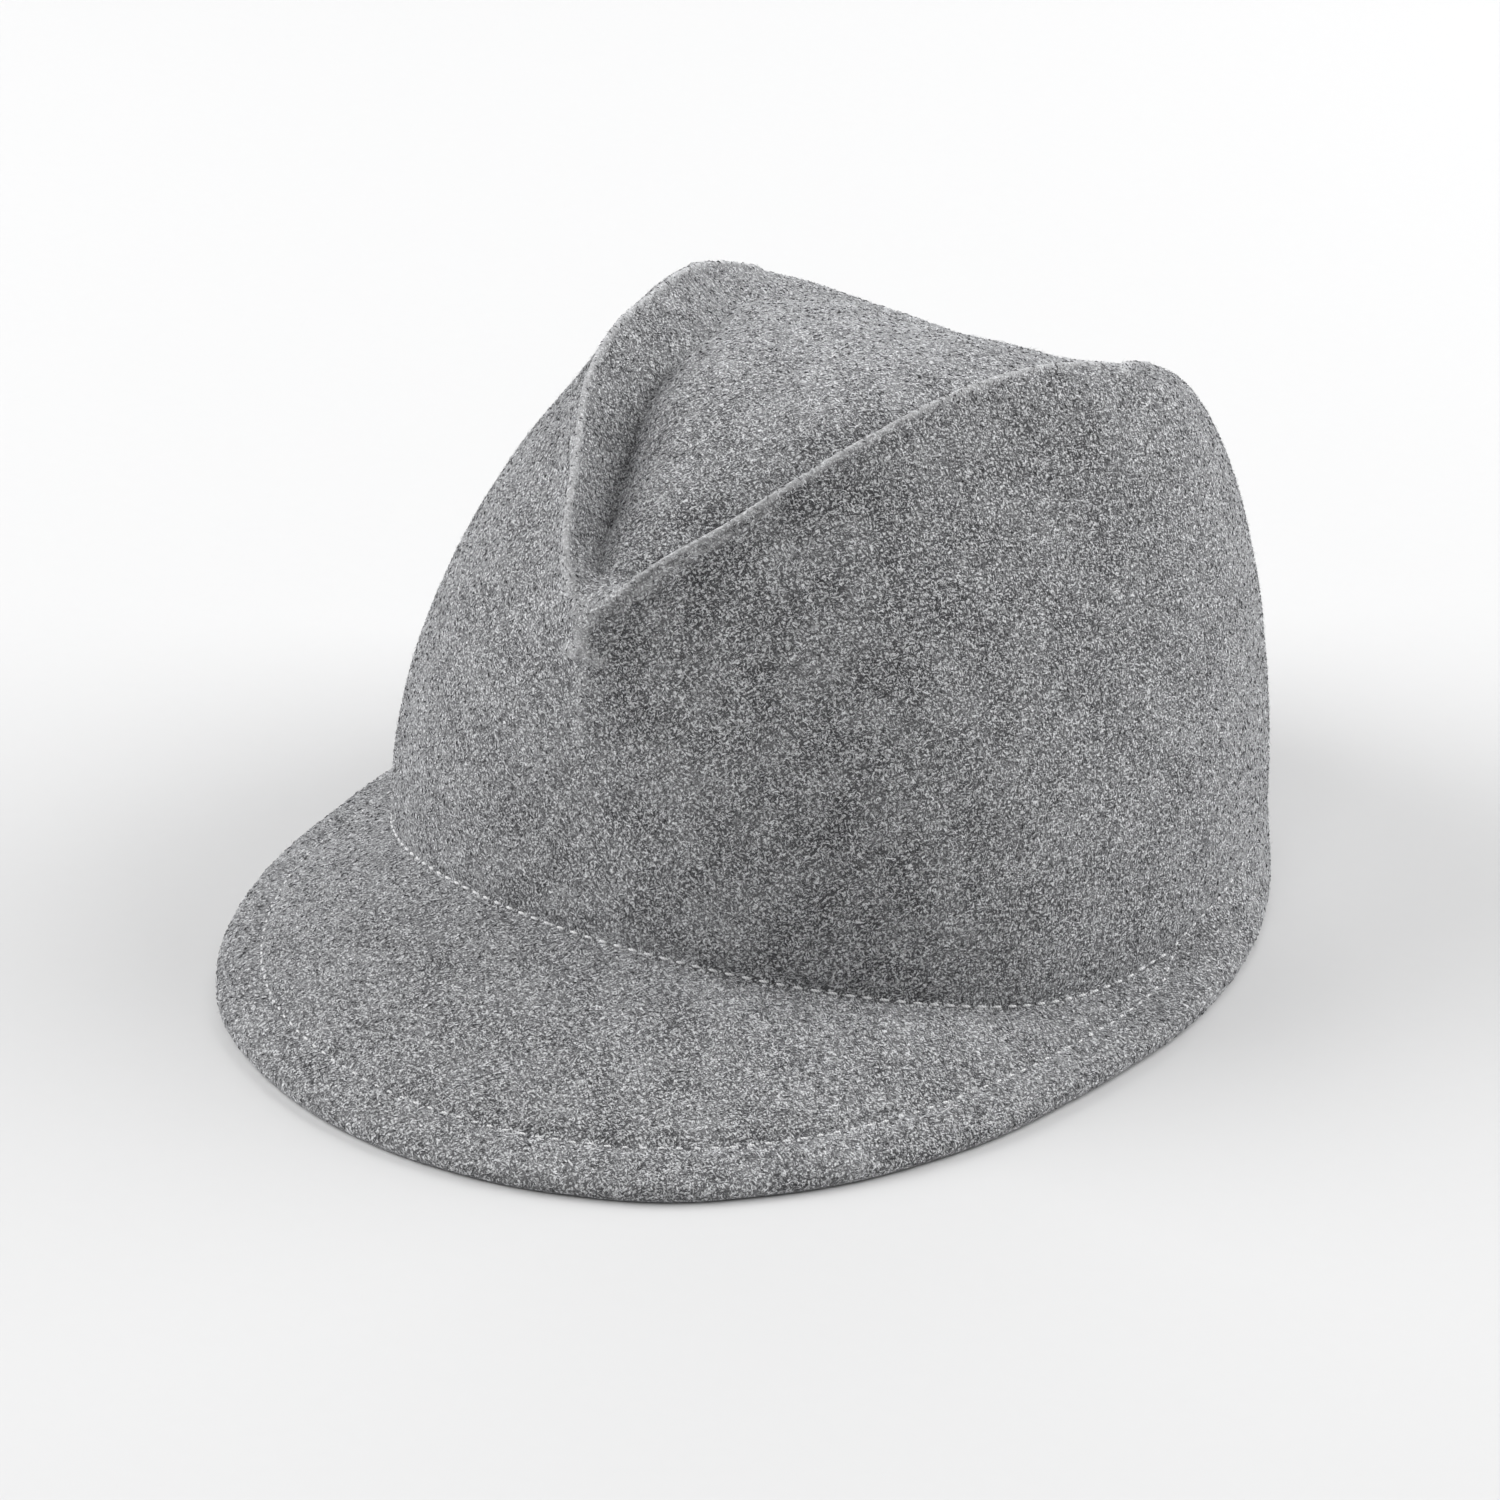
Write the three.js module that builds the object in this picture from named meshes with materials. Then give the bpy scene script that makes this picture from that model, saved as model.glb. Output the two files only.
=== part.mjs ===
import * as THREE from "three";

// A wool felt cap in millimetres, +Z up, front at -Y, the wearer's left at +X.
// Crown and peak are blocked from one piece of felt, and its edge is turned under and sewn down.
// A section is a cut through the felt from the edge to the top of the crown, at an angle round the
// crown's axis. Angle 0 is the middle of the front. Both sides of the cap are alike.

// Felt
const feltThickness = 2.3;
const hemDepth = 9.5;
const hemStep = 0.6;
const feltColour = 0x8d8e90;

// Top of the crown between the ridges
const domeHeight = 116.5;
const domeSoftening = 24;

// The peak leans to the wearer's left of the crown, by this much at the sides and twice this at its
// front corners
const peakLean = 1.4;

// Where the wall is drawn in below the ridge, as a share of its rise, and over what share
const pinchRise = 0.88;
const pinchSpread = 0.08;

// How much of the edge is flattened by the surface it rests on
const restFlattening = 0.8;

// Reach is measured from the crown's axis, height from the surface that the cap stands on.
// Bow is how the peak curves down to its edge: over 1 it is round, under 1 it flares out.
// Ridge is the crest round the top of the crown, pinch is how far the wall is drawn in below it,
// and valley is the groove inside it. Dome fullness is how steeply the middle of the crown rises
// from that groove.
const sections = [
  { angle: 0, edgeReach: 151.8, edgeHeight: 4.4, bow: 1.35, foldReach: 94.5, foldHeight: 22.8, wallPower: 1,
    wallRound: 0.5, pinch: 0, ridgeReach: 85.8, ridgeHeight: 85, valleyInset: 9, valleyDrop: -4.5,
    domeFullness: 2.2 },
  { angle: 4, edgeReach: 151.7, edgeHeight: 4.4, bow: 1.35, foldReach: 94.5, foldHeight: 22.8, wallPower: 1.05,
    wallRound: 0.78, pinch: 0.4, ridgeReach: 81.8, ridgeHeight: 91.6, valleyInset: 8.5, valleyDrop: 2,
    domeFullness: 2.3 },
  { angle: 8, edgeReach: 151.1, edgeHeight: 4.4, bow: 1.35, foldReach: 94.6, foldHeight: 22.7, wallPower: 1.25,
    wallRound: 1, pinch: 1, ridgeReach: 76.8, ridgeHeight: 97, valleyInset: 9, valleyDrop: 6,
    domeFullness: 2.6 },
  { angle: 14, edgeReach: 149.5, edgeHeight: 4.4, bow: 1.35, foldReach: 94.8, foldHeight: 22.4, wallPower: 1.6,
    wallRound: 1, pinch: 1.6, ridgeReach: 69.5, ridgeHeight: 102.2, valleyInset: 10, valleyDrop: 8.5,
    domeFullness: 3.2 },
  { angle: 22, edgeReach: 146, edgeHeight: 4.4, bow: 1.3, foldReach: 95, foldHeight: 21.2, wallPower: 1.85,
    wallRound: 1, pinch: 1.9, ridgeReach: 62, ridgeHeight: 108, valleyInset: 10.5, valleyDrop: 10,
    domeFullness: 3.9 },
  { angle: 32, edgeReach: 138, edgeHeight: 4.4, bow: 1.25, foldReach: 95.2, foldHeight: 19, wallPower: 1.95,
    wallRound: 1, pinch: 2, ridgeReach: 55.7, ridgeHeight: 113.7, valleyInset: 11, valleyDrop: 10.5,
    domeFullness: 4.4 },
  { angle: 45, edgeReach: 125.4, edgeHeight: 4.6, bow: 1.2, foldReach: 94.7, foldHeight: 15.2, wallPower: 2,
    wallRound: 1, pinch: 2, ridgeReach: 49.3, ridgeHeight: 118, valleyInset: 11, valleyDrop: 10.5,
    domeFullness: 4.6 },
  { angle: 60, edgeReach: 110.8, edgeHeight: 5.2, bow: 1.1, foldReach: 93, foldHeight: 9.6, wallPower: 2,
    wallRound: 1, pinch: 1.8, ridgeReach: 44.5, ridgeHeight: 120.4, valleyInset: 11, valleyDrop: 10,
    domeFullness: 4.6 },
  { angle: 78, edgeReach: 101, edgeHeight: 5.4, bow: 0.9, foldReach: 90.6, foldHeight: 8, wallPower: 2,
    wallRound: 1.08, pinch: 1, ridgeReach: 42.3, ridgeHeight: 120.7, valleyInset: 11.5, valleyDrop: 9,
    domeFullness: 4.4 },
  { angle: 100, edgeReach: 95, edgeHeight: 4.8, bow: 0.7, foldReach: 90.5, foldHeight: 14.6, wallPower: 2,
    wallRound: 1.4, pinch: 0.3, ridgeReach: 46.5, ridgeHeight: 119.8, valleyInset: 12, valleyDrop: 7,
    domeFullness: 3.8 },
  { angle: 120, edgeReach: 92.8, edgeHeight: 3.2, bow: 0.7, foldReach: 91.5, foldHeight: 16, wallPower: 2.1,
    wallRound: 1.75, pinch: 0, ridgeReach: 58.5, ridgeHeight: 114.5, valleyInset: 13, valleyDrop: 4,
    domeFullness: 3 },
  { angle: 136, edgeReach: 94.2, edgeHeight: 2.9, bow: 0.7, foldReach: 93, foldHeight: 16, wallPower: 2.1,
    wallRound: 1.9, pinch: 0, ridgeReach: 65.5, ridgeHeight: 107.5, valleyInset: 14, valleyDrop: 0,
    domeFullness: 2.6 },
  { angle: 155, edgeReach: 97, edgeHeight: 2.9, bow: 0.7, foldReach: 95.3, foldHeight: 16, wallPower: 2.1,
    wallRound: 1.9, pinch: 0, ridgeReach: 66, ridgeHeight: 99.6, valleyInset: 15, valleyDrop: -4.5,
    domeFullness: 2.3 },
  { angle: 180, edgeReach: 99, edgeHeight: 3, bow: 0.7, foldReach: 96.8, foldHeight: 16, wallPower: 2.1,
    wallRound: 1.9, pinch: 0, ridgeReach: 64, ridgeHeight: 94.4, valleyInset: 15, valleyDrop: -7,
    domeFullness: 2.2 },
];

// The two ridges meet in a point at the front, so these columns aren't level there
const pointedColumns = [
  "wallPower", "wallRound", "pinch", "ridgeReach", "ridgeHeight", "valleyInset", "valleyDrop",
  "domeFullness",
];

// Points that shape a section's curve, each a share of the way across its part of the felt:
// the peak from edge to fold, the wall from fold to ridge, and the dome from valley to top
const peakPoints = [1, 0.85, 0.65, 0.45, 0.25, 0.1];
const wallPoints = [0.04, 0.12, 0.24, 0.37, 0.5, 0.62, 0.72, 0.8, 0.87, 0.93, 0.975];
const domePoints = [0.93, 0.84, 0.7, 0.5, 0.3, 0.14, 0];
// Two points down the ridge's inner side, as shares of the valley's inset and drop
const innerRidge = [
  { inset: 0.22, drop: 0.14 },
  { inset: 0.65, drop: 0.66 },
];
// Lengths measured between two neighbouring points of a curve
const lengthsPerPoint = 20;

// Mesh density. Sections stand closer at the front, where the ridges meet.
const sectionCount = 84;
const frontCrowding = 0.34;
const peakRows = 4;
const wallRows = [0.1, 0.22, 0.35, 0.48, 0.6, 0.71, 0.81, 0.9, 0.96, 1];
const ridgeRows = 3;
const domeRows = [0.07, 0.16, 0.3, 0.5, 0.75];
const edgeArcSteps = 4;
// Rows on the doubled hem, as shares of its depth
const hemRows = [0, 0.3, 0.65];
// The space between the fold and the rows beside it, and the least space between the hem and the
// fold, at the back
const foldMargin = 2.5;
const narrowestGap = 1.2;
// Step for finding which way the felt faces, in radians and in shares of a section's curve
const normalStep = 0.002;

// Slope of a column at a row of the table, from the rows on both sides of it
function columnSlope(column, row) {
  const first = 0;
  const last = sections.length - 1;
  if (row === last) {
    return 0;
  }
  if (row === first) {
    const next = sections[1];
    const rise = (next[column] - sections[0][column]) / (next.angle - sections[0].angle);
    return pointedColumns.includes(column) ? rise : 0;
  }
  const before = sections[row - 1];
  const here = sections[row];
  const after = sections[row + 1];
  const slopeBefore = (here[column] - before[column]) / (here.angle - before.angle);
  const slopeAfter = (after[column] - here[column]) / (after.angle - here.angle);
  const stepBefore = here.angle - before.angle;
  const stepAfter = after.angle - here.angle;
  return (slopeBefore * stepAfter + slopeAfter * stepBefore) / (stepBefore + stepAfter);
}

// Value of a column between the rows, on a smooth curve through them
function columnAt(column, degrees) {
  let row = 0;
  while (row < sections.length - 2 && sections[row + 1].angle < degrees) {
    row += 1;
  }
  const low = sections[row];
  const high = sections[row + 1];
  const span = high.angle - low.angle;
  const t = (degrees - low.angle) / span;
  const startSlope = columnSlope(column, row) * span;
  const endSlope = columnSlope(column, row + 1) * span;
  const rise = high[column] - low[column];
  const bend = 3 * rise - 2 * startSlope - endSlope;
  const twist = startSlope + endSlope - 2 * rise;
  return low[column] + startSlope * t + bend * t ** 2 + twist * t ** 3;
}

// The columns at one angle. Softening, in degrees, rounds off the point at the front.
function sectionAt(angle, softening = 0) {
  const degrees = Math.hypot(THREE.MathUtils.radToDeg(angle), softening);
  const section = {};
  for (const column of Object.keys(sections[0])) {
    section[column] = columnAt(column, degrees);
  }
  section.edgeReach += peakLean * (Math.sin(angle) + Math.sin(2 * angle));
  return section;
}

// The outside of the felt at one angle, as a curve of reach (x) and height (y) from edge to top
function outsideCurve(angle) {
  const s = sectionAt(angle);
  const valleyReach = s.ridgeReach - s.valleyInset;
  const valleyHeight = s.ridgeHeight - s.valleyDrop;
  const points = [];
  const add = (reach, height) => points.push(new THREE.Vector3(reach, height, 0));

  for (const out of peakPoints) {
    const fall = (s.foldHeight - s.edgeHeight) * out ** s.bow;
    add(s.foldReach + (s.edgeReach - s.foldReach) * out, s.foldHeight - fall);
  }
  const foldIndex = points.length;
  add(s.foldReach, s.foldHeight);
  for (const rise of wallPoints) {
    const out = (1 - rise ** s.wallPower) ** (1 / s.wallRound);
    const drawnIn = s.pinch * Math.exp(-(((rise - pinchRise) / pinchSpread) ** 2));
    const reach = s.ridgeReach + (s.foldReach - s.ridgeReach) * out - drawnIn;
    add(reach, s.foldHeight + (s.ridgeHeight - s.foldHeight) * rise);
  }
  const ridgeIndex = points.length;
  add(s.ridgeReach, s.ridgeHeight);
  for (const step of innerRidge) {
    add(s.ridgeReach - step.inset * s.valleyInset, s.ridgeHeight - step.drop * s.valleyDrop);
  }
  const valleyIndex = points.length;
  add(valleyReach, valleyHeight);
  for (const out of domePoints) {
    const soft = sectionAt(angle, domeSoftening * (1 - out));
    const softHeight = soft.ridgeHeight - soft.valleyDrop;
    const rise = 1 - out ** soft.domeFullness;
    add((soft.ridgeReach - soft.valleyInset) * out, softHeight + (domeHeight - softHeight) * rise);
  }

  const curve = new THREE.CatmullRomCurve3(points, false, "centripetal");
  curve.arcLengthDivisions = lengthsPerPoint * (points.length - 1);
  const lengths = curve.getLengths();
  return {
    curve,
    foldAt: lengths[lengthsPerPoint * foldIndex],
    ridgeAt: lengths[lengthsPerPoint * ridgeIndex],
    valleyAt: lengths[lengthsPerPoint * valleyIndex],
    topAt: lengths[lengths.length - 1],
  };
}

// Distances from the edge, along the outside of the felt, at which the mesh has its rows
function rowDistances(outside) {
  const foldRow = Math.max(outside.foldAt, hemDepth + narrowestGap);
  const margin = Math.min(foldMargin, (foldRow - hemDepth) / 2);
  const rows = hemRows.map((share) => share * hemDepth);
  rows.push(hemDepth - hemStep, hemDepth);
  const addRows = (from, to, count) => {
    for (let i = 1; i <= count; i += 1) {
      rows.push(from + ((to - from) * i) / count);
    }
  };
  addRows(hemDepth, foldRow - margin, peakRows);
  rows.push(foldRow);
  const wallStart = foldRow + foldMargin;
  rows.push(wallStart);
  for (const share of wallRows) {
    rows.push(wallStart + (outside.ridgeAt - wallStart) * share);
  }
  addRows(outside.ridgeAt, outside.valleyAt, ridgeRows);
  for (const share of domeRows) {
    rows.push(outside.valleyAt + (outside.topAt - outside.valleyAt) * share);
  }
  return rows;
}

// Angles of the sections round the crown, closer together at the front
function sectionAngles() {
  const angles = [];
  for (let i = 0; i < sectionCount; i += 1) {
    const even = -Math.PI + (2 * Math.PI * i) / sectionCount;
    angles.push(even - frontCrowding * Math.sin(even));
  }
  return angles;
}

// Point of the felt's outside at an angle and a share of the way along that angle's curve
function placeAt(curve, angle, share) {
  const flat = curve.getPoint(share);
  return new THREE.Vector3(flat.x * Math.sin(angle), -flat.x * Math.cos(angle), flat.y);
}

// One section of the felt: where its rows lie on the outside, and which way they face
function feltSection(angle) {
  const outside = outsideCurve(angle);
  const before = outsideCurve(angle - normalStep);
  const after = outsideCurve(angle + normalStep);
  return rowDistances(outside).map((distance) => {
    const share = outside.curve.getUtoTmapping(distance / outside.topAt);
    const nearer = Math.max(share - normalStep, 0);
    const further = Math.min(share + normalStep, 1);
    const inward = placeAt(outside.curve, angle, further).sub(placeAt(outside.curve, angle, nearer));
    const round = placeAt(after.curve, angle + normalStep, share);
    round.sub(placeAt(before.curve, angle - normalStep, share));
    return {
      place: placeAt(outside.curve, angle, share),
      outward: round.cross(inward).normalize(),
      edgeward: inward.normalize().negate(),
    };
  });
}

// One closed body of felt: outside, rounded edge, and inside with the doubled hem
function feltBody() {
  const columns = sectionAngles().map((angle) => {
    const rows = feltSection(angle);
    const column = rows.map((row) => row.place).reverse();
    const edge = rows[0];
    const edgeCentre = edge.place.clone().addScaledVector(edge.outward, -feltThickness);
    for (let k = 1; k < edgeArcSteps; k += 1) {
      const turn = (Math.PI * k) / edgeArcSteps;
      const point = edgeCentre.clone();
      point.addScaledVector(edge.outward, feltThickness * Math.cos(turn));
      point.addScaledVector(edge.edgeward, feltThickness * Math.sin(turn));
      column.push(point);
    }
    rows.forEach((row, j) => {
      const depth = j <= hemRows.length ? 2 * feltThickness : feltThickness;
      column.push(row.place.clone().addScaledVector(row.outward, -depth));
    });
    return column;
  });

  const positions = [];
  for (const column of columns) {
    for (const point of column) {
      positions.push(point.x, point.y, Math.max(point.z - restFlattening, 0));
    }
  }
  const topIndex = positions.length / 3;
  positions.push(0, 0, domeHeight - restFlattening);
  positions.push(0, 0, domeHeight - restFlattening - feltThickness);

  // Each four-sided patch is cut along its shorter diagonal, so that creases stay straight
  const indices = [];
  const height = columns[0].length;
  for (let i = 0; i < sectionCount; i += 1) {
    const here = i * height;
    const next = ((i + 1) % sectionCount) * height;
    indices.push(topIndex, here, next);
    indices.push(topIndex + 1, next + height - 1, here + height - 1);
    const right = columns[(i + 1) % sectionCount];
    for (let j = 0; j < height - 1; j += 1) {
      const falling = columns[i][j].distanceTo(right[j + 1]);
      const rising = columns[i][j + 1].distanceTo(right[j]);
      if (falling <= rising) {
        indices.push(here + j, here + j + 1, next + j + 1);
        indices.push(here + j, next + j + 1, next + j);
      } else {
        indices.push(here + j, here + j + 1, next + j);
        indices.push(here + j + 1, next + j + 1, next + j);
      }
    }
  }
  const geometry = new THREE.BufferGeometry();
  geometry.setAttribute("position", new THREE.Float32BufferAttribute(positions, 3));
  geometry.setIndex(indices);
  return geometry;
}

const feltMaterial = new THREE.MeshStandardMaterial({ color: feltColour, roughness: 0.95, metalness: 0 });
const body = new THREE.Mesh(feltBody(), feltMaterial);
body.name = "felt_body";
// The origin is under the middle of the whole cap, from side to side and from front to back
const middle = new THREE.Box3().setFromObject(body).getCenter(new THREE.Vector3());
body.position.set(-middle.x, -middle.y, 0);

const cap = new THREE.Group();
cap.add(body);

export default cap;
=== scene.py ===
import math

import bmesh
import bpy
from mathutils import Matrix, Vector
from mathutils.bvhtree import BVHTree
from mathutils.kdtree import KDTree


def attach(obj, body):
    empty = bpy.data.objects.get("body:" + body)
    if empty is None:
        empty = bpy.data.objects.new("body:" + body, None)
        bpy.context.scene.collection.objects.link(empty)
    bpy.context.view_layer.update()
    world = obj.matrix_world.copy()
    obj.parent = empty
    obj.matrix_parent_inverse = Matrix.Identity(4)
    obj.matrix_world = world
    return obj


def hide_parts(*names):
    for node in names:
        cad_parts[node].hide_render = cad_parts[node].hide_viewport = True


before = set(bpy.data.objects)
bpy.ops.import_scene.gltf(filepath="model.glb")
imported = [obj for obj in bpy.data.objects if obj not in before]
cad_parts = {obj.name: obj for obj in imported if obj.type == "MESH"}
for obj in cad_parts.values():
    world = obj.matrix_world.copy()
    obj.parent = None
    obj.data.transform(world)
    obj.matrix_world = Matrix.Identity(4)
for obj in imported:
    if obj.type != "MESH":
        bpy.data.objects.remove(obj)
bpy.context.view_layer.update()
mm = 0.001


def linked(thing):
    bpy.context.scene.collection.objects.link(thing)
    return thing


def evaluatedMesh(thing):
    # The mesh as its modifiers leave it
    seen = thing.evaluated_get(bpy.context.evaluated_depsgraph_get())
    return bpy.data.meshes.new_from_object(seen)


# Camera, as the photo was taken: from the front and the wearer's left, a little above
view = {
    "turn": math.radians(35.5),
    "height": math.radians(26),
    "distance": 1.0,
    "lens": 112.03,
    "sensor": 36,
    "nearest": 0.05,
    "farthest": 30,
    "crownFoot": Vector((-2.08, 27.02, 0)) * mm,  # where the crown's axis meets the floor
    "right": -18.10 * mm,
    "up": 21.53 * mm,
}


def viewAxes():
    turn, height = view["turn"], view["height"]
    level = math.cos(height)
    right = Vector((math.cos(turn), math.sin(turn), 0))
    back = Vector((math.sin(turn) * level, -math.cos(turn) * level, math.sin(height)))
    return right, back.cross(right), back


viewRight, viewUp, viewBack = viewAxes()


def makeCamera():
    data = bpy.data.cameras.new("photo_camera")
    data.lens = view["lens"]
    data.sensor_width = view["sensor"]
    data.clip_start = view["nearest"]
    data.clip_end = view["farthest"]
    camera = linked(bpy.data.objects.new("photo_camera", data))
    place = view["crownFoot"] + viewBack * view["distance"]
    place = place + viewRight * view["right"] + viewUp * view["up"]
    turned = Matrix((viewRight, viewUp, viewBack)).transposed().to_4x4()
    camera.matrix_world = Matrix.Translation(place) @ turned
    bpy.context.scene.camera = camera


makeCamera()
print("camera placed")


# Shader building
def addNode(tree, kind, inputs=None, **settings):
    node = tree.nodes.new(kind)
    for name, value in settings.items():
        setattr(node, name, value)
    for name, value in (inputs or {}).items():
        if isinstance(value, bpy.types.NodeSocket):
            tree.links.new(value, node.inputs[name])
        else:
            node.inputs[name].default_value = value
    return node


def maths(tree, operation, *values):
    node = addNode(tree, "ShaderNodeMath", dict(enumerate(values)), operation=operation)
    return node.outputs[0]


def noise(tree, place, scale, detail):
    node = addNode(tree, "ShaderNodeTexNoise", {"Vector": place, "Scale": scale, "Detail": detail})
    return node.outputs


def mapRange(tree, value, low, high, toLow=0.0, toHigh=1.0):
    node = addNode(tree, "ShaderNodeMapRange",
                   {"Value": value, "From Min": low, "From Max": high,
                    "To Min": toLow, "To Max": toHigh})
    return node.outputs[0]


def mixColour(tree, share, low, high):
    node = addNode(tree, "ShaderNodeMix", {0: share, 6: low, 7: high}, data_type="RGBA")
    return node.outputs[2]


def newGroup(name, inputs, outputs):
    group = bpy.data.node_groups.new(name, "ShaderNodeTree")
    for socket, kind, value in inputs:
        made = group.interface.new_socket(socket, in_out="INPUT", socket_type=kind)
        if value is not None:
            made.default_value = value
    for socket, kind in outputs:
        group.interface.new_socket(socket, in_out="OUTPUT", socket_type=kind)
    return group, group.nodes.new("NodeGroupInput"), group.nodes.new("NodeGroupOutput")


def newMaterial(name, surface):
    material = bpy.data.materials.new(name)
    material.use_nodes = True
    shader = material.node_tree.nodes["Principled BSDF"]
    for socket, value in surface.items():
        shader.inputs[socket].default_value = value
    return material, material.node_tree, shader


# Short fibres lying in many directions: stretched noise, turned a different way in each layer
markLook = {
    "bendScale": 320.0,
    "bendDetail": 1.0,
    "bendReach": 1.0 * mm,
    "stretch": 3.6,
    "softness": 0.1,
    # tilt from upright and turn round of each layer, in radians
    "turns": [
        (0.15, 0.0), (0.95, 0.2), (0.95, 2.3), (0.95, 4.4), (1.57, 1.0), (1.57, 2.6),
    ],
}


def fibreGroup():
    group, given, out = newGroup(
        "fibre marks",
        [
            ("Vector", "NodeSocketVector", None),
            ("Offset", "NodeSocketFloat", 0.0),
            ("Scale", "NodeSocketFloat", 2400.0),
            ("Sparseness", "NodeSocketFloat", 0.6),
        ],
        [("Marks", "NodeSocketFloat")],
    )
    place = given.outputs["Vector"]
    sparseness = given.outputs["Sparseness"]
    bend = noise(group, place, markLook["bendScale"], markLook["bendDetail"])["Color"]
    centred = addNode(group, "ShaderNodeVectorMath", {0: bend, 1: (0.5, 0.5, 0.5)},
                      operation="SUBTRACT")
    reach = (markLook["bendReach"],) * 3
    bent = addNode(group, "ShaderNodeVectorMath", {0: centred.outputs[0], 1: reach, 2: place},
                   operation="MULTIPLY_ADD")
    shifted = addNode(group, "ShaderNodeVectorMath",
                      {0: bent.outputs[0], 1: given.outputs["Offset"]}, operation="ADD")
    upper = maths(group, "ADD", sparseness, markLook["softness"])
    total = None
    for tilt, turn in markLook["turns"]:
        turned = addNode(group, "ShaderNodeMapping",
                         {"Vector": shifted.outputs[0], "Rotation": (tilt, 0.0, turn),
                          "Scale": (1.0, 1.0, markLook["stretch"])},
                         vector_type="TEXTURE")
        layer = noise(group, turned.outputs[0], given.outputs["Scale"], 0.0)["Fac"]
        mark = mapRange(group, layer, sparseness, upper)
        total = mark if total is None else maths(group, "MAXIMUM", total, mark)
    group.links.new(total, out.inputs["Marks"])
    return group


fibreMarks = fibreGroup()


feltLook = {
    "base": (0.40, 0.402, 0.408, 1),
    "paleWool": (0.88, 0.885, 0.90, 1),
    "darkWool": (0.045, 0.045, 0.047, 1),
    # the crest's paler colour: partly wear where the fibres stand out, partly painted highlight
    "crestWornAndLitColour": (0.80, 0.80, 0.81, 1),
    # offset, scale and sparseness of the fibre marks
    "paleMarks": (0.0, 2900.0, 0.6),
    "darkMarks": (3.7, 2500.0, 0.59),
    "paleShare": 0.85,
    "darkShare": 0.9,
    "patchScale": 110.0,
    "patchDetail": 4.0,
    "patchEnds": (0.3, 0.7),
    "patchShare": 0.12,
    "crestPaling": 0.6,
    "grainScale": 900.0,
    "grainDetail": 4.0,
    "markRelief": 0.5,
    "bumpStrength": 0.7,
    "bumpDepth": 0.5 * mm,
    "surface": {
        "Roughness": 0.92,
        "Specular IOR Level": 0.15,
        "Sheen Weight": 0.5,
        "Sheen Roughness": 0.55,
        "Sheen Tint": (0.95, 0.96, 1, 1),
    },
}


def feltMaterial():
    material, tree, shader = newMaterial("grey melange felt", feltLook["surface"])
    place = addNode(tree, "ShaderNodeTexCoord").outputs["Object"]
    marks = []
    for offset, scale, sparseness in (feltLook["paleMarks"], feltLook["darkMarks"]):
        node = addNode(tree, "ShaderNodeGroup",
                       {"Vector": place, "Offset": offset, "Scale": scale,
                        "Sparseness": sparseness},
                       node_tree=fibreMarks)
        marks.append(node.outputs["Marks"])
    pale, dark = marks

    # Cloudy patches have more of one wool and less of the other
    patches = noise(tree, place, feltLook["patchScale"], feltLook["patchDetail"])["Fac"]
    low, high = feltLook["patchEnds"]
    tone = mapRange(tree, patches, low, high, -feltLook["patchShare"], feltLook["patchShare"])
    paleShare = maths(tree, "MULTIPLY", pale, maths(tree, "ADD", tone, feltLook["paleShare"]))
    darkShare = maths(tree, "MULTIPLY", dark, maths(tree, "SUBTRACT", feltLook["darkShare"], tone))
    colour = mixColour(tree, paleShare, feltLook["base"], feltLook["paleWool"])
    colour = mixColour(tree, darkShare, colour, feltLook["darkWool"])
    # The crest is paled: partly wear where the fibres stand out, partly painted highlight where
    # the narrow crest catches light
    crest = addNode(tree, "ShaderNodeAttribute", attribute_name="crest").outputs["Fac"]
    wornAndLitShare = maths(tree, "MULTIPLY", crest, feltLook["crestPaling"])
    colour = mixColour(tree, wornAndLitShare, colour, feltLook["crestWornAndLitColour"])
    tree.links.new(colour, shader.inputs["Base Color"])

    relief = maths(tree, "SUBTRACT", pale, dark)
    grain = noise(tree, place, feltLook["grainScale"], feltLook["grainDetail"])["Fac"]
    height = maths(tree, "MULTIPLY_ADD", relief, feltLook["markRelief"], grain)
    bump = addNode(tree, "ShaderNodeBump",
                   {"Height": height, "Strength": feltLook["bumpStrength"],
                    "Distance": feltLook["bumpDepth"]})
    tree.links.new(bump.outputs["Normal"], shader.inputs["Normal"])
    return material


# The felt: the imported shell, merged, made of quads and smoothed, with its crest kept narrow
felt = {
    "node": "felt_body",
    "mergeDistance": 0.004 * mm,
    "quadBend": math.radians(60),
    "quadSkew": math.radians(80),
    "subdivisions": 2,
    # a face of the outside looks at least this far up, or this far away from the crown's axis
    "outsideUp": 0.05,
    "outsideAway": 0.35,
    "crestAngle": math.radians(26),
    "crestLowest": 52 * mm,
    "crestWidth": 0.8 * mm,
    # the keel is the front's middle line, which the crest runs down into
    "keelLowest": 56 * mm,
    "keelFade": 22 * mm,
    "onKeel": 0.05 * mm,
    "keelReach": 80 * mm,
    "beadHeight": 0.7 * mm,
    "beadReach": 1.7 * mm,
    "beadAtFoot": 0.45,
    "valleyCrease": 0.42,
    "grooveDepth": 0.25 * mm,
    "grooveReach": 2.0 * mm,
    "pinchTurn": 0.5,  # how far round from the front the pinch goes, in radians
    "pinchReach": 14 * mm,
    "pinchRounds": 120,
    "lean": 2.2 * mm,
    "leanReach": 46 * mm,
    "leanLowest": 22 * mm,
    "foldAngle": math.radians(14),
    "stepAngle": math.radians(40),
    "rimHeight": 30 * mm,
    "seamDepth": 0.7 * mm,
    "seamReach": 2.8 * mm,
    "lineStep": 0.4 * mm,
    "unevenness": 0.5 * mm,
    "unevenSize": 16 * mm,
}


def fromCrown(point):
    return point - view["crownFoot"]


def roundCrown(point):
    # Angle round the crown's axis, 0 at the front
    place = fromCrown(point)
    return math.atan2(place.x, -place.y)


def awayFromCrown(point):
    place = fromCrown(point)
    return Vector((place.x, place.y, 0)).normalized()


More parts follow.
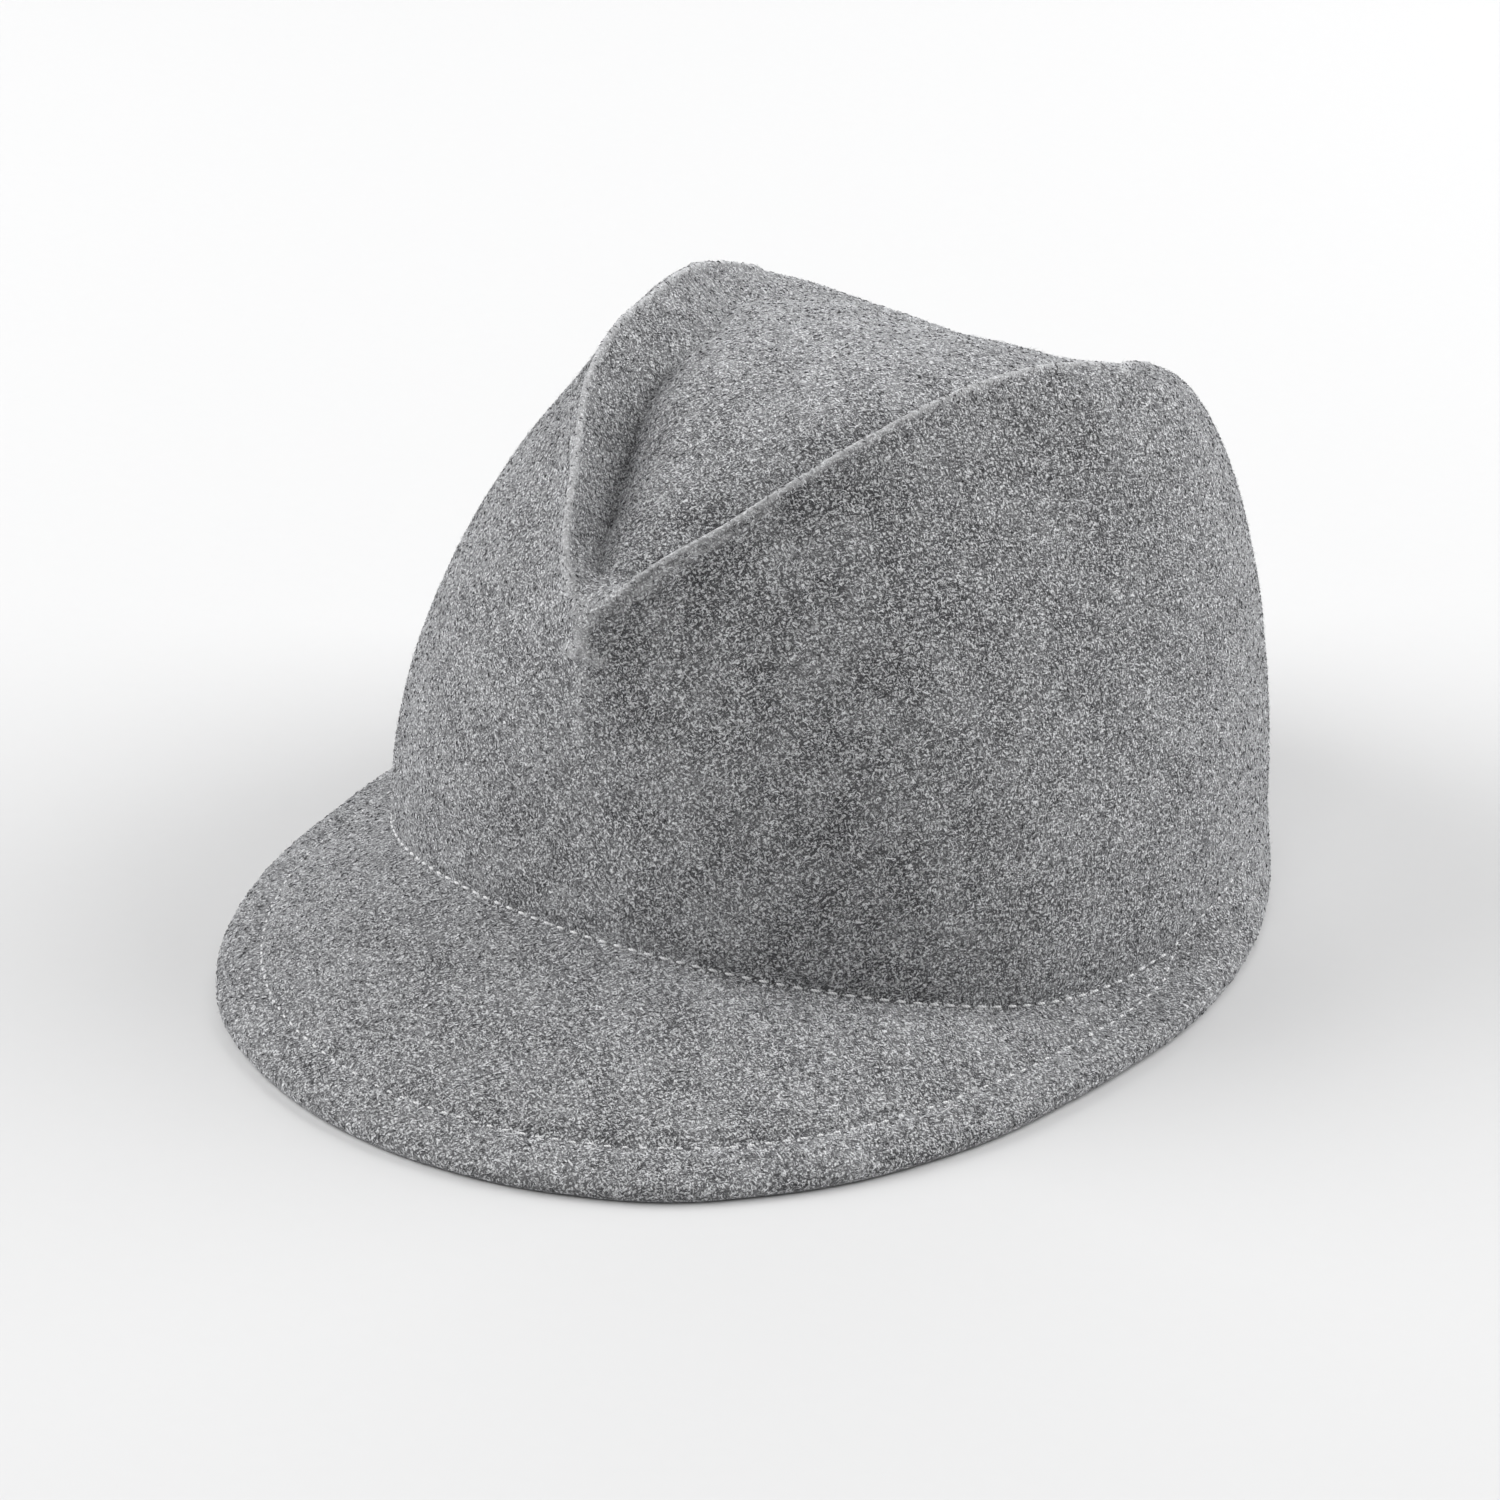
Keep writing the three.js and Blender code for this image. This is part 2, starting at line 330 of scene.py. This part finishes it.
def isOutside(face):
    # True on the felt's outside, false inside the crown and under the peak
    away = awayFromCrown(face.calc_center_median())
    return face.normal.z > felt["outsideUp"] or face.normal.dot(away) > felt["outsideAway"]


def sortedRound(points):
    return sorted(points, key=roundCrown)


def edgeEnds(edge):
    return [vert.co.copy() for vert in edge.verts]


def sharpLines(shape):
    # The crest's edges, the groove's edges, and the points along the fold and along the hem inside
    crest, groove, fold, hem = [], [], [], []
    for edge in shape.edges:
        if len(edge.link_faces) != 2:
            continue
        bend = edge.calc_face_angle_signed()
        outside = isOutside(edge.link_faces[0]) and isOutside(edge.link_faces[1])
        middle = (edge.verts[0].co + edge.verts[1].co) / 2
        if outside and middle.z > felt["crestLowest"] and bend > felt["crestAngle"]:
            crest.append(edge)
        elif outside and middle.z > felt["crestLowest"] and bend < -felt["crestAngle"]:
            groove.append(edge)
        elif middle.z < felt["rimHeight"]:
            if outside and bend < -felt["foldAngle"]:
                fold += edgeEnds(edge)
            elif not outside and bend < -felt["stepAngle"]:
                hem += edgeEnds(edge)
    return crest, groove, sortedRound(fold), sortedRound(hem)


def isOnKeel(vert):
    place = fromCrown(vert.co)
    inFront = abs(place.x) < felt["onKeel"] and place.y < -felt["keelReach"]
    return (inFront and vert.co.z > felt["keelLowest"]
            and all(isOutside(face) for face in vert.link_faces))


def keelLine(shape):
    # The points of the front's middle line, from the foot of the crown up to the pinch
    points = [vert.co.copy() for vert in shape.verts if isOnKeel(vert)]
    return sorted(points, key=lambda place: place.z)


def falloff(distance, reach):
    return max(0.0, 1 - (distance / reach) ** 2) ** 2


def nearLine(stretches):
    # A search tree of points along stretches, each given by its two ends
    places = []
    for start, end in stretches:
        steps = max(1, round((end - start).length / felt["lineStep"]))
        places += [start.lerp(end, step / steps) for step in range(steps + 1)]
    tree = KDTree(len(places))
    for number, place in enumerate(places):
        tree.insert(place, number)
    tree.balance()
    return tree


def smoothFelt(piece):
    # Rounds the shell and gives it the slight unevenness of felt blocked by hand
    smooth = piece.modifiers.new("smooth", "SUBSURF")
    smooth.levels = smooth.render_levels = felt["subdivisions"]
    clouds = bpy.data.textures.new("hand blocked", "CLOUDS")
    clouds.noise_scale = felt["unevenSize"]
    uneven = piece.modifiers.new("uneven", "DISPLACE")
    uneven.texture = clouds
    uneven.texture_coords = "LOCAL"
    uneven.strength = felt["unevenness"]
    uneven.mid_level = 0.5
    smoothed = evaluatedMesh(piece)
    piece.modifiers.clear()
    piece.data = smoothed


def makeFelt():
    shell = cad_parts[felt["node"]].data.copy()
    piece = linked(bpy.data.objects.new("wool_felt", shell))
    shape = bmesh.new()
    shape.from_mesh(piece.data)
    bmesh.ops.remove_doubles(shape, verts=shape.verts, dist=felt["mergeDistance"])
    bmesh.ops.join_triangles(shape, faces=shape.faces, angle_face_threshold=felt["quadBend"],
                             angle_shape_threshold=felt["quadSkew"])
    # New layers come first, because they make earlier lists of edges useless
    crease = shape.edges.layers.float.new("crease_edge")
    outside = shape.faces.layers.float.new("outside")
    crest, groove, fold, hem = sharpLines(shape)
    keel = keelLine(shape)
    crestTree = nearLine([edgeEnds(edge) for edge in crest] + list(zip(keel, keel[1:])))
    grooveTree = nearLine([edgeEnds(edge) for edge in groove])
    pinch = [place for edge in groove for place in edgeEnds(edge)
             if abs(roundCrown(place)) < felt["pinchTurn"]]
    pinchFoot = min(pinch, key=lambda place: place.z)
    for edge in groove:
        edge[crease] = felt["valleyCrease"]
    bmesh.ops.bevel(shape, geom=crest, offset=felt["crestWidth"], offset_type="OFFSET",
                    segments=2, profile=0.5, affect="EDGES", clamp_overlap=True, material=-1)
    for face in shape.faces:
        face.smooth = True
        face[outside] = 1.0 if isOutside(face) else 0.0
    shape.to_mesh(piece.data)
    shape.free()
    print("felt shell", len(piece.data.polygons), "faces")
    smoothFelt(piece)
    piece.data.materials.clear()
    piece.data.materials.append(feltMaterial())
    return piece, crestTree, grooveTree, pinchFoot, fold, hem


woolFelt, crestTree, grooveTree, pinchFoot, foldPoints, hemPoints = makeFelt()


def feltTree(outside):
    # A search tree of the felt's outside, or of its inside
    shape = bmesh.new()
    shape.from_mesh(woolFelt.data)
    layer = shape.faces.layers.float["outside"]
    other = [face for face in shape.faces if (face[layer] > 0.5) != outside]
    bmesh.ops.delete(shape, geom=other, context="FACES")
    tree = BVHTree.FromBMesh(shape)
    shape.free()
    return tree


# Sewing: a row along the fold at the crown's foot and a row that holds the hem
sewing = {
    "pitch": 3.4 * mm,
    "length": 2.1 * mm,
    "width": 0.62 * mm,
    "sides": 8,
    "rings": 6,
    "endDrop": 0.8,  # how far a stitch's ends go down, in halves of its width
    "foldLift": 0.1 * mm,
    "hemLift": -0.1 * mm,
    "foldEnds": math.radians(84),
    "hemOut": 1.5 * mm,
    "hemUp": 3.5 * mm,
    "hemInset": 1.0 * mm,
    "pointGap": 0.8 * mm,
}


def evenly(points, closed):
    # Points a stitch apart along a line
    line = list(points) + ([points[0]] if closed else [])
    total = sum((b - a).length for a, b in zip(line, line[1:]))
    count = round(total / sewing["pitch"])
    step = total / count
    places, gone, wanted = [], 0.0, step / 2
    for a, b in zip(line, line[1:]):
        length = (b - a).length
        while wanted <= gone + length and len(places) < count:
            places.append((a.lerp(b, (wanted - gone) / length), (b - a).normalized()))
            wanted += step
        gone += length
    return places


def tidyLine(points, window=2):
    # One point for each direction round the crown, smoothed along the line
    single = []
    for point in points:
        if not single or (point - single[-1]).length > sewing["pointGap"]:
            single.append(point)
    count = len(single)
    steps = range(-window, window + 1)
    return [sum((single[(n + k) % count] for k in steps), Vector()) / len(steps)
            for n in range(count)]


def hemRow(tree):
    # The hem's row: above the hem's inner edge on the felt's outside, and a little nearer the rim
    row = []
    for point in tidyLine(hemPoints):
        away = awayFromCrown(point)
        above = point + away * sewing["hemOut"] + Vector((0, 0, sewing["hemUp"]))
        spot, normal = tree.find_nearest(above)[:2]
        edgeward = (away - normal * away.dot(normal)).normalized()
        row.append(tree.find_nearest(spot + edgeward * sewing["hemInset"])[0])
    return row


def stitchShape():
    # One stitch lying along X, with its ends drawn down
    shape = bmesh.new()
    bmesh.ops.create_uvsphere(shape, u_segments=sewing["sides"], v_segments=sewing["rings"],
                              radius=1, matrix=Matrix.Rotation(math.radians(90), 4, "Y"))
    half = Vector((sewing["length"] / 2, sewing["width"] / 2, sewing["width"] / 2))
    for vert in shape.verts:
        along = vert.co.x
        vert.co = vert.co * half
        vert.co.z -= sewing["endDrop"] * half.z * along ** 2
    mesh = bpy.data.meshes.new("stitch")
    shape.to_mesh(mesh)
    shape.free()
    return mesh


def sewRow(name, line, tree, closed, lift, material):
    stitch = stitchShape()
    shape = bmesh.new()
    places = evenly(line, closed)
    for place, along in places:
        spot, normal = tree.find_nearest(place)[:2]
        side = normal.cross(along).normalized()
        forward = side.cross(normal)
        turned = Matrix((forward, side, normal)).transposed().to_4x4()
        seated = Matrix.Translation(spot + normal * lift) @ turned
        before = len(shape.verts)
        shape.from_mesh(stitch)
        shape.verts.ensure_lookup_table()
        bmesh.ops.transform(shape, matrix=seated, verts=shape.verts[before:])
    for vert in shape.verts:
        vert.co.z = max(vert.co.z, 0)
    for face in shape.faces:
        face.smooth = True
    piece = linked(bpy.data.objects.new(name, bpy.data.meshes.new(name)))
    shape.to_mesh(piece.data)
    shape.free()
    piece.data.materials.append(material)
    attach(piece, "root")
    return len(places)


threadLook = {
    "colour": (0.95, 0.95, 0.96, 1),
    # share of the thread's colour left between the plies: painted shade in the grooves of the
    # twist
    "shadeBetweenPlies": 0.7,
    "plyScale": 900.0,
    "plyDistortion": 1.5,
    "plyDetail": 1.0,
    "bumpStrength": 0.5,
    "bumpDepth": 0.1 * mm,
    "surface": {"Roughness": 0.75},
}


def threadMaterial():
    material, tree, shader = newMaterial("grey sewing thread", threadLook["surface"])
    place = addNode(tree, "ShaderNodeTexCoord").outputs["Object"]
    ply = addNode(tree, "ShaderNodeTexWave",
                  {"Vector": place, "Scale": threadLook["plyScale"],
                   "Distortion": threadLook["plyDistortion"], "Detail": threadLook["plyDetail"]},
                  bands_direction="DIAGONAL").outputs["Fac"]
    pale = Vector(threadLook["colour"])
    # Darker between the plies, where the bump is low: painted shade
    colour = mixColour(tree, ply, tuple(pale * threadLook["shadeBetweenPlies"]), tuple(pale))
    tree.links.new(colour, shader.inputs["Base Color"])
    bump = addNode(tree, "ShaderNodeBump",
                   {"Height": ply, "Strength": threadLook["bumpStrength"],
                    "Distance": threadLook["bumpDepth"]})
    tree.links.new(bump.outputs["Normal"], shader.inputs["Normal"])
    return material


def crestShares():
    # How much of the bead each point has: it runs out down the keel and near the pinch's foot,
    # where the wearer's right side keeps some of it
    atFoot = felt["beadAtFoot"]
    shares = []
    for vert in woolFelt.data.vertices:
        share = falloff(crestTree.find(vert.co)[2], felt["beadReach"])
        share *= min(1, max(0, (vert.co.z - felt["keelLowest"]) / felt["keelFade"]))
        fromFoot = min(1, (vert.co - pinchFoot).length / felt["pinchReach"])
        onLeft = fromCrown(vert.co).x > felt["beadReach"]
        share *= fromFoot if onLeft else atFoot + (1 - atFoot) * fromFoot
        shares.append(share)
    return shares


def softenPinch():
    # The foot of the pinch is a soft bowl
    shape = bmesh.new()
    shape.from_mesh(woolFelt.data)
    layer = shape.faces.layers.float["outside"]
    near = [vert for vert in shape.verts if (vert.co - pinchFoot).length < felt["pinchReach"]
            and all(face[layer] > 0.5 for face in vert.link_faces)]
    for _ in range(felt["pinchRounds"]):
        bmesh.ops.smooth_vert(shape, verts=near, factor=0.5,
                              use_axis_x=True, use_axis_y=True, use_axis_z=True)
    shape.to_mesh(woolFelt.data)
    shape.free()


def workFelt(shares):
    # The bead along the crest stands out, the groove is deepened, the felt is drawn in along
    # the sewing, and the pinch leans a little to the wearer's right
    hemStretches = list(zip(hemLine, hemLine[1:] + hemLine[:1]))
    seams = nearLine(list(zip(foldLine, foldLine[1:])) + hemStretches)
    mesh = woolFelt.data
    places = []
    for vert, share in zip(mesh.vertices, shares):
        move = share * felt["beadHeight"]
        move -= falloff(grooveTree.find(vert.co)[2], felt["grooveReach"]) * felt["grooveDepth"]
        if vert.co.z < felt["rimHeight"]:
            move -= falloff(seams.find(vert.co)[2], felt["seamReach"]) * felt["seamDepth"]
        lean = falloff((vert.co - pinchFoot).length, felt["leanReach"]) * felt["lean"]
        lean *= min(1, max(0, vert.co.z / felt["leanLowest"] - 1))
        place = vert.co + vert.normal * move - Vector((lean, 0, 0))
        place.z = max(place.z, 0)
        places.extend(place)
    mesh.vertices.foreach_set("co", places)
    # The shares, kept as the crest attribute, also pale the crest's colour: partly wear, partly
    # painted highlight
    mesh.attributes.new("crest", "FLOAT", "POINT").data.foreach_set("value", shares)
    mesh.update()


foldLine = [point for point in tidyLine(foldPoints) if abs(roundCrown(point)) < sewing["foldEnds"]]
hemLine = hemRow(feltTree(True))
beadShares = crestShares()
softenPinch()
workFelt(beadShares)
outsideTree, insideTree = feltTree(True), feltTree(False)
thread = threadMaterial()
sewn = sewRow("fold_stitches", foldLine, outsideTree, False, sewing["foldLift"], thread)
sewn += sewRow("hem_stitches", hemLine, outsideTree, True, sewing["hemLift"], thread)
sewn += sewRow("hem_stitches_below", hemLine, insideTree, True, sewing["hemLift"], thread)
print("sewn", sewn, "stitches")
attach(woolFelt, "root")
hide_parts(felt["node"])
print("felt made")


# Loose wool fibres lying on the felt, sown over its outside and made real meshes
fibres = {
    # colour, how many, then in mm length, width, bend sideways and height of the middle,
    # lean in radians, seed
    "pale_fibres": ((0.82, 0.825, 0.84, 1), 29000, 1.3, 0.22, 0.20, 0.12, 0.12, 1),
    "dark_fibres": ((0.05, 0.05, 0.053, 1), 29000, 1.2, 0.22, 0.16, 0.11, 0.10, 2),
    "grey_fibres": ((0.42, 0.422, 0.43, 1), 29000, 1.5, 0.20, 0.25, 0.13, 0.20, 3),
    "loose_hairs": ((0.66, 0.665, 0.68, 1), 22000, 2.0, 0.09, 0.35, 0.15, 1.0, 4),
}

fibreLook = {
    "sides": 3,
    "tipHeight": -0.04,  # in mm
    "lowest": 1.2 * mm,
    "smallest": (0.55, 0.55, 0.6),
    "largest": (1.45, 1.3, 1.5),
    # added to a piece's own seed
    "turnSeed": 10,
    "sizeSeed": 20,
    "toneScale": 420.0,
    "toneDetail": 2.0,
    "toneEnds": (0.35, 0.65),
    "darkest": 0.72,
    "palest": 1.15,
    "surface": {"Roughness": 0.8, "Specular IOR Level": 0.25, "Sheen Weight": 0.2},
}


def strandShape(name, length, width, bend, rise):
    # A bent spindle
    half = length / 2 * mm
    middle = Matrix.Translation((0, bend * mm, rise * mm))
    shape = bmesh.new()
    bmesh.ops.create_circle(shape, segments=fibreLook["sides"], radius=width / 2 * mm,
                            matrix=middle @ Matrix.Rotation(math.radians(90), 4, "Y"))
    edges = list(shape.edges)
    for tip in (-half, half):
        grown = bmesh.ops.extrude_edge_only(shape, edges=edges)["geom"]
        tipVerts = [item for item in grown if isinstance(item, bmesh.types.BMVert)]
        bmesh.ops.pointmerge(shape, verts=tipVerts, merge_co=(tip, 0, fibreLook["tipHeight"] * mm))
    bmesh.ops.recalc_face_normals(shape, faces=shape.faces)
    mesh = bpy.data.meshes.new(name)
    shape.to_mesh(mesh)
    shape.free()
    return linked(bpy.data.objects.new(name, mesh))


def fibreMaterial(name, colour):
    material, tree, shader = newMaterial(name.replace("_", " "), fibreLook["surface"])
    place = addNode(tree, "ShaderNodeTexCoord").outputs["Object"]
    patches = noise(tree, place, fibreLook["toneScale"], fibreLook["toneDetail"])["Fac"]
    tone = mapRange(tree, patches, *fibreLook["toneEnds"])
    darkest = Vector(colour) * fibreLook["darkest"]
    palest = Vector(colour) * fibreLook["palest"]
    mixed = mixColour(tree, tone, tuple(darkest), tuple(palest))
    tree.links.new(mixed, shader.inputs["Base Color"])
    return material


def outsideArea():
    faces = woolFelt.data.polygons
    shares = woolFelt.data.attributes["outside"].data
    return sum(face.area for face, share in zip(faces, shares) if share.value > 0.5)


feltArea = outsideArea()


def sowingTree(name, strand, count, lean, seed):
    tree = bpy.data.node_groups.new("sow " + name, "GeometryNodeTree")
    tree.interface.new_socket("Geometry", in_out="INPUT", socket_type="NodeSocketGeometry")
    tree.interface.new_socket("Geometry", in_out="OUTPUT", socket_type="NodeSocketGeometry")
    out = tree.nodes.new("NodeGroupOutput")

    # Points on the felt's outside, off the floor
    felted = addNode(tree, "GeometryNodeObjectInfo", {"Object": woolFelt})
    outside = addNode(tree, "GeometryNodeInputNamedAttribute", {"Name": "outside"},
                      data_type="FLOAT")
    place = addNode(tree, "GeometryNodeInputPosition").outputs[0]
    height = addNode(tree, "ShaderNodeSeparateXYZ", {0: place}).outputs["Z"]
    offFloor = maths(tree, "GREATER_THAN", height, fibreLook["lowest"])
    share = maths(tree, "MULTIPLY", outside.outputs[0], offFloor)
    density = maths(tree, "MULTIPLY", share, count / feltArea)
    points = addNode(tree, "GeometryNodeDistributePointsOnFaces",
                     {"Mesh": felted.outputs["Geometry"], "Density": density, "Seed": seed})

    # A strand on each, turned, leaning and sized at random
    turn = addNode(tree, "FunctionNodeRandomValue",
                   {0: (-lean, -lean, 0.0), 1: (lean, lean, 2 * math.pi),
                    "Seed": seed + fibreLook["turnSeed"]},
                   data_type="FLOAT_VECTOR")
    angles = addNode(tree, "FunctionNodeEulerToRotation", {0: turn.outputs[0]})
    turned = addNode(tree, "FunctionNodeRotateRotation",
                     {"Rotation": points.outputs["Rotation"], "Rotate By": angles.outputs[0]},
                     rotation_space="LOCAL")
    size = addNode(tree, "FunctionNodeRandomValue",
                   {0: fibreLook["smallest"], 1: fibreLook["largest"],
                    "Seed": seed + fibreLook["sizeSeed"]},
                   data_type="FLOAT_VECTOR")
    strandInfo = addNode(tree, "GeometryNodeObjectInfo", {"Object": strand})
    sown = addNode(tree, "GeometryNodeInstanceOnPoints",
                   {"Points": points.outputs["Points"], "Instance": strandInfo.outputs["Geometry"],
                    "Rotation": turned.outputs[0], "Scale": size.outputs[0]})
    real = addNode(tree, "GeometryNodeRealizeInstances", {"Geometry": sown.outputs["Instances"]})
    tree.links.new(real.outputs["Geometry"], out.inputs[0])
    return tree


def sow(name, colour, count, length, width, bend, rise, lean, seed):
    strand = strandShape(name + "_strand", length, width, bend, rise)
    tree = sowingTree(name, strand, count, lean, seed)
    piece = linked(bpy.data.objects.new(name, bpy.data.meshes.new(name)))
    piece.modifiers.new("sow", "NODES").node_group = tree
    grown = evaluatedMesh(piece)
    piece.modifiers.clear()
    piece.data = grown
    fromFelt = [item.name for item in grown.attributes if item.name in ("outside", "crest")]
    for attribute in fromFelt:
        grown.attributes.remove(grown.attributes[attribute])
    grown.materials.clear()
    grown.materials.append(fibreMaterial(name, colour))
    bpy.data.objects.remove(strand)
    bpy.data.node_groups.remove(tree)
    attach(piece, "root")
    print(name, len(grown.polygons), "faces")


for name, settings in fibres.items():
    sow(name, *settings)


# Floor and light
studio = {
    "floorSize": 12,
    "floorColour": (0.685, 0.685, 0.687, 1),
    "grainScale": 260.0,
    "grainDetail": 3.0,
    "grainTone": 0.985,
    "surface": {"Roughness": 0.9, "Specular IOR Level": 0.1},
    "worldColour": (1, 1, 1, 1),
    "worldStrength": 0.22,
    "aimHeight": 50 * mm,
    # side (right of the picture), away (behind the cap), up, size, watts
    "lights": {
        "left": (-1.6, 0.3, 1.0, 1.6, 37),
        "right": (1.6, 0.4, 1.0, 1.6, 40),
        "behind": (0.2, 1.6, 1.0, 1.2, 8),
        "front": (-0.2, -1.2, 1.9, 1.4, 10),
    },
}


def makeFloor():
    shape = bmesh.new()
    bmesh.ops.create_grid(shape, x_segments=1, y_segments=1, size=studio["floorSize"] / 2)
    floor = linked(bpy.data.objects.new("studio_floor", bpy.data.meshes.new("studio_floor")))
    shape.to_mesh(floor.data)
    shape.free()
    material, tree, shader = newMaterial("pale studio paper", studio["surface"])
    place = addNode(tree, "ShaderNodeTexCoord").outputs["Object"]
    grain = noise(tree, place, studio["grainScale"], studio["grainDetail"])["Fac"]
    pale = Vector(studio["floorColour"])
    colour = mixColour(tree, grain, tuple(pale * studio["grainTone"]), tuple(pale))
    tree.links.new(colour, shader.inputs["Base Color"])
    floor.data.materials.append(material)


def makeLight():
    world = bpy.data.worlds.new("studio")
    world.use_nodes = True
    background = world.node_tree.nodes["Background"]
    background.inputs["Color"].default_value = studio["worldColour"]
    background.inputs["Strength"].default_value = studio["worldStrength"]
    bpy.context.scene.world = world

    middle = view["crownFoot"] + Vector((0, 0, studio["aimHeight"]))
    away = Vector((-math.sin(view["turn"]), math.cos(view["turn"]), 0))
    for name, (side, behind, up, size, watts) in studio["lights"].items():
        data = bpy.data.lights.new(name, "AREA")
        data.shape = "SQUARE"
        data.size = size
        data.energy = watts
        lamp = linked(bpy.data.objects.new(name, data))
        place = middle + viewRight * side + away * behind + Vector((0, 0, up))
        lamp.location = place
        lamp.rotation_euler = (place - middle).to_track_quat("Z", "Y").to_euler()
    settings = bpy.context.scene.view_settings
    settings.view_transform = "Standard"
    settings.look = "None"
    settings.exposure = 0
    settings.gamma = 1


makeFloor()
makeLight()
print("studio made")
